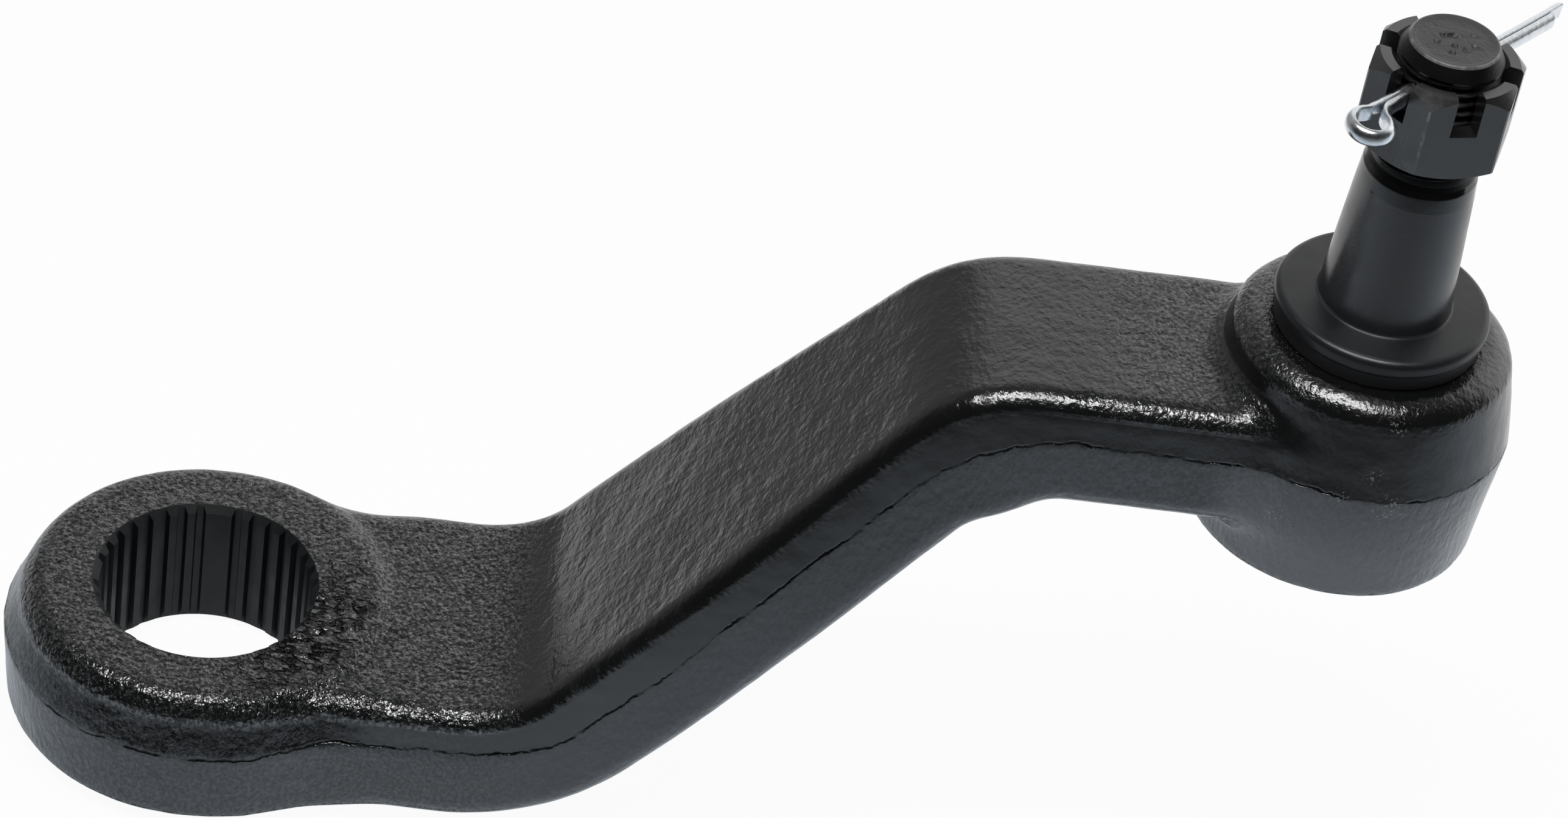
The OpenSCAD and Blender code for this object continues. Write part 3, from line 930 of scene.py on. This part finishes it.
def scale_coarseness(x, flank):
    """How coarse the scale is: most by the eye, least on the slope and the flanks."""
    past_eye = smooth((x - EYE_SCALE_TO) / SCALE_FADE)
    on_slope = past_eye * (1 - smooth((x - SLOPE_SCALE_TO) / SCALE_FADE))
    by_boss = smooth((x - BOSS_SCALE_FROM) / BOSS_SCALE_FADE_IN)
    by_boss = by_boss * (1 - smooth((x - BOSS_SCALE_TO) / BOSS_SCALE_FADE_OUT))
    coarseness = SCALE_MEAN + EYE_COARSER * (1 - past_eye)
    coarseness = coarseness - SLOPE_FINER * on_slope + BOSS_COARSER * by_boss
    return coarseness * (1 - FLANK_FINER * flank)


def carry_forging_marks(target):
    """Stores at the points of the mesh what the paint has to know about the forging."""
    data = target.data
    flat = np.zeros(3 * len(data.vertices))
    data.vertices.foreach_get("co", flat)
    points = flat.reshape(-1, 3) / MM
    x = points[:, 0]
    normals, _ = slope_of(forging, points)
    flank, above = flank_and_line(points, normals)
    carry(data, "flank", flank)
    carry(data, "above_parting", above)
    carry(data, "scale_pits", scale_coarseness(x, flank))
    carry(data, "torn", torn_share(points))
    # Where the painted floor reflection on the boss may lie
    carry(data, "on_boss", smooth((x - CENTRE_X + BOSS_R) / BOSS_REFLECTION_FADE))
    carry(data, "scuffed", scuffed_share(points))


def spline_tool():
    """What is broached out of the eye, with a chamfer at each end."""
    half = pi * LAND_R * GROOVE_SHARE / SPLINES
    floor_half = half - (GROOVE_R - LAND_R) * tan(GROOVE_FLANK)
    floor_r = hypot(GROOVE_R, floor_half)
    floor_turn = atan(floor_half / GROOVE_R)
    groove_turn = asin(half / LAND_R)
    points = []
    for i in range(SPLINES):
        turn = 2 * pi * i / SPLINES
        land_from = turn + groove_turn
        land_to = turn + 2 * pi / SPLINES - groove_turn
        if i % BLANK_EVERY == 0:
            blank = np.linspace(turn - groove_turn, land_from, 5)[:-1]
            points += [(LAND_R, a) for a in blank]
        else:
            points += [(floor_r, turn - floor_turn), (GROOVE_R, turn), (floor_r, turn + floor_turn)]
        points += [(LAND_R, a) for a in np.linspace(land_from, land_to, 4)]
    ring = np.array([(r * cos(a), r * sin(a), 0) for r, a in points])
    length = np.array([0, 0, EYE_HALF_H + PAST])
    made = new_object("spline_tool", *swept([ring - length, ring + length]), BORE)
    flare = [
        (0, EYE_HALF_H - BORE_MOUTH_R),
        (BORE_MOUTH_R + MOUTH_REACH, EYE_HALF_H + MOUTH_REACH),
        (0, EYE_HALF_H + MOUTH_REACH),
    ]
    for side in (1, -1):
        outline = [(r, side * z) for r, z in flare][::side]
        cone = new_object("mouth_tool", *lathe(outline, sides=144), BORE)
        cut(made, cone, "UNION")
    return made


def boss_tool():
    """What is bored out of the boss, from its lower face up."""
    bottom = RISE - BOSS_DOWN
    top = BOSS_TOP + PAST
    chamber_r = FLANGE_R + PLAY
    chamber_top = FLANGE_LOW[2] + BUSHING_FLANGE_T
    cover_r = COVER_R + SEAT_CLEARANCE
    cover_top = COVER_HIGH[2] + PLAY
    bore_r = JOURNAL_R + RUNNING_CLEARANCE + BUSHING_WALL + SEAT_CLEARANCE
    outline = [
        (0, bottom - PAST),
        (chamber_r + LIP_CHAMFER + PAST, bottom - PAST),
        (chamber_r, bottom + LIP_CHAMFER),
        (chamber_r, COVER_LOW[2]),
        (cover_r, COVER_LOW[2]),
        (cover_r, cover_top),
        (chamber_r, cover_top),
        (chamber_r, chamber_top),
        (bore_r, chamber_top),
        (bore_r, top),
        (0, top),
    ]
    points, faces = lathe(outline, sides=128)
    return new_object("boss_tool", points + STUD_AXIS, faces, BORE)


def make_arm():
    low = np.array([-EYE_R, -EYE_R, -EYE_HALF_H]) - ARM_MARGIN
    high = np.array([CENTRE_X + BOSS_R, EYE_R, BOSS_TOP]) + ARM_MARGIN
    points, faces = surface_net(forging, low, high, ARM_CELL)
    for _ in range(FITTING_STEPS):
        normals, steep = slope_of(forging, points)
        points = points - normals * (forging(*points.T) / steep)[:, None]
    normals, _ = slope_of(forging, points)
    points = points + normals * forging_relief(points, normals)[:, None]
    arm = new_object("arm_forged", points, faces, PAINT)
    cut(arm, spline_tool())
    cut(arm, boss_tool())
    carry_forging_marks(arm)
    smooth_faces(arm)
    place(arm, "arm", "forging_paint", "arm_forging")


# Stud

STUD_LOOKS = [STUD, GLOSS, THREAD_SHADE, END, COLLAR, NUT_EDGE_WEAR_AND_GLINT]
THREAD_LOOK_Z = TAPER_TOP + 0.2
GLOSS_LOOK_Z = TAPER_TOP - BAND_H
COLLAR_LOOK_TOP = COLLAR_TOP + 0.1


def thread_radius(r, z, angles):
    """Radius of the stud, with a thread between its shoulder and its end."""
    fade = smooth((z - TAPER_TOP - THREAD_STARTS) / THREAD_FADE_IN)
    fade = fade * smooth((STUD_HIGH[2] - END_CHAMFER_H - z) / THREAD_FADE_OUT)
    turn = np.mod((z - TAPER_TOP) / THREAD_PITCH - angles / (2 * pi), 1)
    groove = np.clip(THREAD_STEEPNESS * np.abs(2 * turn - 1) - THREAD_CREST, 0, 1)
    return r - THREAD_DEPTH * fade * groove


def end_relief(points):
    """Depth of the scale and of the rough patch in the middle of the stud's end."""
    off_patch = np.hypot(points[:, 0] - PATCH_X, points[:, 1] - PATCH_Y) / PATCH_R
    hollow = smooth((bumps(points, PATCH_GRAIN, seed=5.5) - 0.12) / 0.2)
    scale = np.abs(bumps(points, END_SCALE_GRAIN, seed=1.5))
    return PATCH_DEPTH * smooth(1.5 - off_patch) * hollow + END_SCALE * scale


def stud_outline():
    """Outline of the stud as (radius, height), from the middle of its foot to that of its end."""
    low, top = STUD_LOW[2], STUD_HIGH[2]
    chamfer_z = top - END_CHAMFER_H
    band_r = mix(TAPER_SMALL_R, TAPER_BIG_R, BAND_H / (TAPER_TOP - COLLAR_TOP))
    shank = rounded(
        [
            (0, low, 0),
            (RIVET_R - RIVET_CHAMFER, low, STUD_EDGE_R),
            (RIVET_R, low + RIVET_CHAMFER, STUD_EDGE_R),
            (RIVET_R, RETAINER_Z, 0),
            (SPIGOT_R, RETAINER_Z, 0),
            (SPIGOT_R, RETAINER_TOP, 0),
            (JOURNAL_R, RETAINER_TOP, STUD_EDGE_R),
            (JOURNAL_R, COLLAR_Z, 0),
            (COLLAR_R, COLLAR_Z, STUD_EDGE_R),
            (COLLAR_R, COLLAR_TOP, COLLAR_EDGE_R),
            (TAPER_BIG_R, COLLAR_TOP, TAPER_FILLET_R),
            (band_r, TAPER_TOP - BAND_H, 0),
            (TAPER_SMALL_R, TAPER_TOP - SHOULDER_H, SHOULDER_FILLET_R),
            (NECK_R, TAPER_TOP, SHOULDER_EDGE_R),
            (THREAD_R, TAPER_TOP + TAPER_SMALL_R - THREAD_R, THREAD_FILLET_R),
            (THREAD_R, TAPER_TOP + THREAD_FROM, 0),
        ]
    )
    rows = np.arange(TAPER_TOP + THREAD_ROWS_FROM, chamfer_z, THREAD_ROW_H)
    thread = [(THREAD_R, z) for z in rows]
    rim = rounded([(THREAD_R, chamfer_z, 0), (END_R, top, RIM_R), (END_R - RIM_W, top, 0)])
    rim_r, rim_z = rim[1]
    shares = np.arange(0, 1, 0.1)
    chamfer = [(mix(THREAD_R, rim_r, u), mix(chamfer_z, rim_z, u)) for u in shares]
    face_z = top - FACE_SINK
    face = [(r, face_z) for r in np.arange(END_R - FACE_IN, 0.1, -FACE_ROW)]
    return shank + thread + chamfer + rim[1:] + face + [(0, face_z)]


def stud_finish(r, z):
    """Material of the stud at a radius and a height."""
    top = STUD_HIGH[2]
    if z > top - FACE_DEPTH and r < END_R - RIM_R:
        return END
    # The end's rim takes the nut's edge grey, partly a painted highlight
    if z > top - RIM_H:
        return NUT_EDGE_WEAR_AND_GLINT
    if z > THREAD_LOOK_Z:
        return THREAD_SHADE
    if z > GLOSS_LOOK_Z:
        return GLOSS
    if z < COLLAR_LOOK_TOP:
        return COLLAR
    return STUD


def make_stud():
    points, faces = lathe(stud_outline(), sides=128, radius_at=thread_radius)
    x, y, z = points.T
    end = (z > STUD_HIGH[2] - RIM_H) & (np.hypot(x, y) < END_R - RIM_R)
    points[end, 2] -= end_relief(points[end])
    stud = new_object("stud_turned", points + STUD_AXIS, faces, *STUD_LOOKS)
    for face in stud.data.polygons:
        x, y, z = face.center / MM
        finish = stud_finish(hypot(x - CENTRE_X, y), z)
        face.material_index = STUD_LOOKS.index(finish)
    half = PIN_HOLE_HALF
    outline = [(0, -half), (PIN_HOLE_R, -half), (PIN_HOLE_R, half), (0, half)]
    points, faces = lathe(outline, sides=32)
    turn = Matrix.Rotation(PIN_TURN, 3, "Z") @ Matrix.Rotation(pi / 2, 3, "Y")
    hole = turned_points(points, turn, [CENTRE_X, 0, PIN_Z])
    cut(stud, new_object("pin_hole", hole, faces, THREAD_SHADE))
    smooth_faces(stud)
    place(stud, "stud", "stud_steel", "stud")


# Castle nut


def make_hexagon(low, top):
    """Prism with six flats and a narrow worn facet in the place of each corner."""
    corner_r = NUT_FLAT / cos(pi / 6)
    corners = []
    for k in range(6):
        turn = NUT_TURN + k * pi / 3
        for side in (-1, 1):
            back = turn + side * 2 * pi / 3
            x = corner_r * cos(turn) + NUT_WORN * cos(back)
            y = corner_r * sin(turn) + NUT_WORN * sin(back)
            corners.append((x, y, 0))
    ring = np.array(corners) + STUD_AXIS
    prism = swept([ring + [0, 0, low], ring + [0, 0, top]])
    made = new_object("hexagon", *prism, NUT, NUT_EDGE_WEAR_AND_GLINT)
    # The corner facets take the worn edge's light grey, partly a painted highlight
    for worn in range(1, len(corners), 2):
        made.data.polygons[worn].material_index = 1
    return made


def make_nut():
    low, top = NUT_LOW[2], NUT_HIGH[2]
    below, over = low - NUT_PAST, top + NUT_PAST
    reach = NUT_FLAT / cos(pi / 6) + NUT_PAST
    crown_r = NUT_FLAT - NUT_CROWN_IN
    outline = [
        (0, low),
        (NUT_FLAT, low),
        (reach, low + (reach - NUT_FLAT) * tan(NUT_FOOT)),
        (reach, top - (reach - crown_r) * tan(NUT_CROWN)),
        (crown_r, top),
        (0, top),
    ]
    points, faces = lathe(outline, sides=144)
    nut = new_object("nut_slotted", points + STUD_AXIS, faces, NUT, NUT_EDGE_WEAR_AND_GLINT)
    cut(nut, make_hexagon(below, over), "INTERSECT")
    mouth_r = NUT_BORE_R + NUT_MOUTH + NUT_PAST
    bore = [
        (0, below),
        (mouth_r, below),
        (NUT_BORE_R, low + NUT_MOUTH),
        (NUT_BORE_R, top - NUT_MOUTH),
        (mouth_r, over),
        (0, over),
    ]
    points, faces = lathe(bore, sides=96)
    cut(nut, new_object("nut_bore", points + STUD_AXIS, faces, NUT))
    for k in range(3):
        turn = Matrix.Rotation(NUT_TURN + (k + 0.5) * pi / 3, 3, "Z")
        ring = turned_points(rectangle(reach, SLOT_W / 2, 0), turn, STUD_AXIS)
        slot = swept([ring + [0, 0, top - SLOT_DEPTH], ring + [0, 0, over]])
        cut(nut, new_object("nut_slot", *slot, NUT))
    smooth_faces(nut, sharp_from=12)
    place(nut, "stud", "nut_steel", "castle_nut")


# Cotter pin


def pin_line():
    """Middle line of the flat side of the folded wire, from one tip to the other."""
    eye = np.array([-(NUT_FLAT + PIN_EYE_OUT), -PIN_EYE_DROP])
    reach = PIN_EYE_R + PIN_BACK_R
    upper = asin((LEG_GAP / 2 + PIN_BACK_R + PIN_EYE_DROP) / reach)
    lower = asin((LEG_GAP / 2 + PIN_BACK_R - PIN_EYE_DROP) / reach)
    upper_back = eye + reach * np.array([cos(upper), sin(upper)])
    lower_back = eye + reach * np.array([cos(lower), -sin(lower)])

    def arc(centre, r, start, end, steps):
        return [centre + r * np.array([cos(t), sin(t)]) for t in np.linspace(start, end, steps)]

    def leg(a, side):
        past = max(0, a - NUT_FLAT) / PIN_TAIL_L
        return np.array([a, side * LEG_GAP / 2 + PIN_TAIL_RISE * past**2])

    tip = NUT_FLAT + PIN_TAIL_L
    short_tip = tip - PIN_LEG_STEP
    line = [leg(a, 1) for a in np.linspace(tip, NUT_FLAT, 15)]
    line += [leg(a, 1) for a in np.linspace(NUT_FLAT, upper_back[0], 12)[1:-1]]
    line += arc(upper_back, PIN_BACK_R, 1.5 * pi, pi + upper, 14)
    line += arc(eye, PIN_EYE_R, upper, 2 * pi - lower, 44)[1:-1]
    line += arc(lower_back, PIN_BACK_R, pi - lower, pi / 2, 14)
    line += [leg(a, -1) for a in np.linspace(lower_back[0], NUT_FLAT, 12)[1:]]
    line += [leg(a, -1) for a in np.linspace(NUT_FLAT, short_tip, 15)[1:]]
    return np.array(line)


def wire_section():
    """Half-round outline with eased corners, as (across, out) from the middle of its flat."""
    half = PIN_D / 2
    across = half - WIRE_EASE
    out = (PIN_D - LEG_GAP) / 2 - WIRE_EASE
    turns = np.linspace(-pi / 2, 0, 4)
    corner = [(across + WIRE_EASE * cos(t), WIRE_EASE + WIRE_EASE * sin(t)) for t in turns]
    turns = np.linspace(0, pi, 17)[1:-1]
    dome = [(half * cos(t), WIRE_EASE + out * sin(t)) for t in turns]
    return corner + dome + [(-a, b) for a, b in corner[::-1]]


def make_pin():
    line = pin_line()
    ahead = np.gradient(line, axis=0)
    ahead /= np.linalg.norm(ahead, axis=1)[:, None]
    tips = {0: 1, len(line) - 1: -1}
    turn = Matrix.Rotation(PIN_TURN, 3, "Z") @ Matrix.Rotation(PIN_ROLL, 3, "X")
    rings = []
    for i, (spot, way) in enumerate(zip(line, ahead)):
        out = np.array([way[1], -way[0]])
        slant = PIN_TIP_SLANT * tips.get(i, 0)
        ring = []
        for across, lift in wire_section():
            point = spot + (out + way * slant) * lift
            ring.append((point[0], -across, point[1]))
        rings.append(turned_points(ring, turn, [CENTRE_X, 0, PIN_Z]))
    pin = new_object("cotter_wire", *swept(rings), ZINC)
    smooth_faces(pin, sharp_from=40)
    place(pin, "stud", "zinc_wire", "cotter_pin")


# Seal, cover and hidden bearing pieces


def make_turned(name, corners, material, body, slot, node, closed=False):
    points, faces = lathe(rounded(corners, closed), sides=128, closed=closed)
    made = new_object(name, points + STUD_AXIS, faces, material)
    smooth_faces(made)
    place(made, body, slot, node)


def make_seal():
    inner = FLANGE_R + SEAT_CLEARANCE
    low, top = SEAL_LOW[2], SEAL_HIGH[2]
    corners = [(inner, low, 0.1), (SEAL_R, low, 0.3), (SEAL_R, top, 0.4), (inner, top, 0.2)]
    make_turned("seal_ring", corners, RUBBER, "arm", "seal_rubber", "dust_seal", closed=True)


def make_cover():
    low, top = COVER_LOW[2], COVER_HIGH[2]
    dish_r = 10
    dish_h = 0.4
    dish_slant = 1.2
    bend_r = 1
    edge_r = 0.3
    corners = [
        (0, low + dish_h, 0),
        (dish_r - dish_slant, low + dish_h, bend_r),
        (dish_r, low, bend_r),
        (COVER_R, low, edge_r),
        (COVER_R, top, edge_r),
        (0, top, 0),
    ]
    make_turned("cover_pressed", corners, PAINT, "arm", "forging_paint", "cover_plate")


def finish_cad_nodes():
    """The hidden bearing pieces keep their CAD shape and get the looks of their material."""
    finishes = {
        "upper_bushing": (BUSHING, "bushing_steel"),
        "lower_bushing": (BUSHING, "bushing_steel"),
        "spring_washer": (SPRING, "spring_steel"),
        "retaining_washer": (WASHER, "washer_steel"),
    }
    for node, (material, slot) in finishes.items():
        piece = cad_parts[node]
        piece.data.materials.clear()
        piece.data.materials.append(material)


# Stage

FLOOR_HALF = 4000
FLOOR_GAP = 0.3
FLOOR_GREY = (0.85, 0.85, 0.85, 1)
FLOOR_GLOW = 0.95
COOL = (0.80, 0.90, 1.0)
WHITE = (1, 1, 1)
LAMP_PLACE = Vector((20, -185, 945))
LAMP_TARGET = Vector((80, 0, 30))
LAMP_W = 600
LAMP_D = 280
LAMP_POWER = 6.6
CAMERA_PLACE = Vector((38.226, -483.864, 458.310))
CAMERA_TARGET = Vector((78.281, 7.143, 49.767))
CAMERA_ROLL = radians(9.963)
CAMERA_LENS = 104.674
CAMERA_SENSOR = 36


def seen_directly(tree):
    """1 for what the camera, a reflection or a clear body sees, 0 for light bounced about."""
    path = add(tree, "ShaderNodeLightPath").outputs
    seen = math(tree, "ADD", path["Is Camera Ray"], path["Is Glossy Ray"])
    seen = math(tree, "ADD", seen, path["Is Transmission Ray"])
    return math(tree, "MINIMUM", seen, 1.0)


def make_floor():
    """A floor that is white to the camera; in reflections it glows with a painted falloff of light,
    darker and cooler in front and darker to the left.
    """
    material = bpy.data.materials.new("white_floor")
    material.use_nodes = True
    tree = material.node_tree
    tree.nodes.remove(tree.nodes["Principled BSDF"])
    matte = add(tree, "ShaderNodeBsdfDiffuse", {"Color": FLOOR_GREY}).outputs[0]
    spot = add(tree, "ShaderNodeNewGeometry").outputs["Position"]
    x, y, _ = add(tree, "ShaderNodeSeparateXYZ", {0: spot}).outputs
    to_camera = add(tree, "ShaderNodeLightPath").outputs["Is Camera Ray"]
    # Glow seen in reflections: a painted falloff of light, darker in front and to the left, with a
    # cool tint in front
    level = ramp(tree, y, -380 * MM, 120 * MM, 0.12, 0.98)
    level = product(tree, level, ramp(tree, x, -330 * MM, 40 * MM, 0.28, 1.0))
    level = math(tree, "MAXIMUM", level, to_camera)
    plain = ramp(tree, y, -60 * MM, 120 * MM, 0.0, 1.0)
    plain = math(tree, "MAXIMUM", plain, to_camera)
    tint = colours(tree, plain, COOL, WHITE)
    white = add(tree, "ShaderNodeEmission", {"Color": tint, "Strength": level}).outputs[0]
    share = product(tree, seen_directly(tree), FLOOR_GLOW)
    both = add(tree, "ShaderNodeMixShader", {0: share, 1: matte, 2: white}).outputs[0]
    tree.links.new(both, tree.nodes["Material Output"].inputs["Surface"])
    ring = rectangle(FLOOR_HALF, FLOOR_HALF, -EYE_HALF_H - FLOOR_GAP)
    new_object("floor", ring, [range(4)], material)


def make_world():
    """A studio that is white behind the part and dark above it and on the camera's side."""
    world = bpy.data.worlds.new("studio")
    world.use_nodes = True
    bpy.context.scene.world = world
    tree = world.node_tree
    way = add(tree, "ShaderNodeTexCoord").outputs["Generated"]
    x, y, z = add(tree, "ShaderNodeSeparateXYZ", {0: way}).outputs
    below_lamp = ramp(tree, z, 0.56, 0.9, 0.8, 0.0)
    behind = ramp(tree, y, 0.0, 0.5, 0.0, 1.0)
    off_left = ramp(tree, x, -0.5, -0.12, 0.2, 1.0)
    to_right = ramp(tree, x, 0.15, 0.6, 1.0, 1.35)
    light = product(tree, below_lamp, behind, off_left, to_right)
    light = math(tree, "ADD", light, ramp(tree, y, -0.35, 0.4, 0.03, 0.12))
    to_camera = add(tree, "ShaderNodeLightPath").outputs["Is Camera Ray"]
    strength = math(tree, "MAXIMUM", light, to_camera)
    tree.links.new(strength, tree.nodes["Background"].inputs["Strength"])
    tree.nodes["Background"].inputs["Color"].default_value = (*WHITE, 1)


def make_lamp():
    data = bpy.data.lights.new("overhead", "AREA")
    data.shape = "RECTANGLE"
    data.size = LAMP_W * MM
    data.size_y = LAMP_D * MM
    data.energy = LAMP_POWER
    lamp = bpy.data.objects.new("overhead", data)
    lamp.location = LAMP_PLACE * MM
    lamp.rotation_euler = (LAMP_TARGET - LAMP_PLACE).to_track_quat("-Z", "Y").to_euler()
    bpy.context.scene.collection.objects.link(lamp)


def make_camera():
    data = bpy.data.cameras.new("camera")
    data.sensor_width = CAMERA_SENSOR
    data.lens = CAMERA_LENS
    data.clip_start = 0.05
    data.clip_end = 20
    camera = bpy.data.objects.new("camera", data)
    aim = (CAMERA_TARGET - CAMERA_PLACE).to_track_quat("-Z", "Y").to_matrix().to_4x4()
    turn = aim @ Matrix.Rotation(CAMERA_ROLL, 4, "Z")
    camera.matrix_world = Matrix.Translation(CAMERA_PLACE * MM) @ turn
    bpy.context.scene.collection.objects.link(camera)
    bpy.context.scene.camera = camera


make_arm()
make_stud()
make_nut()
make_pin()
make_seal()
make_cover()
finish_cad_nodes()
make_floor()
make_world()
make_lamp()
make_camera()
bpy.context.scene.view_settings.view_transform = "Standard"
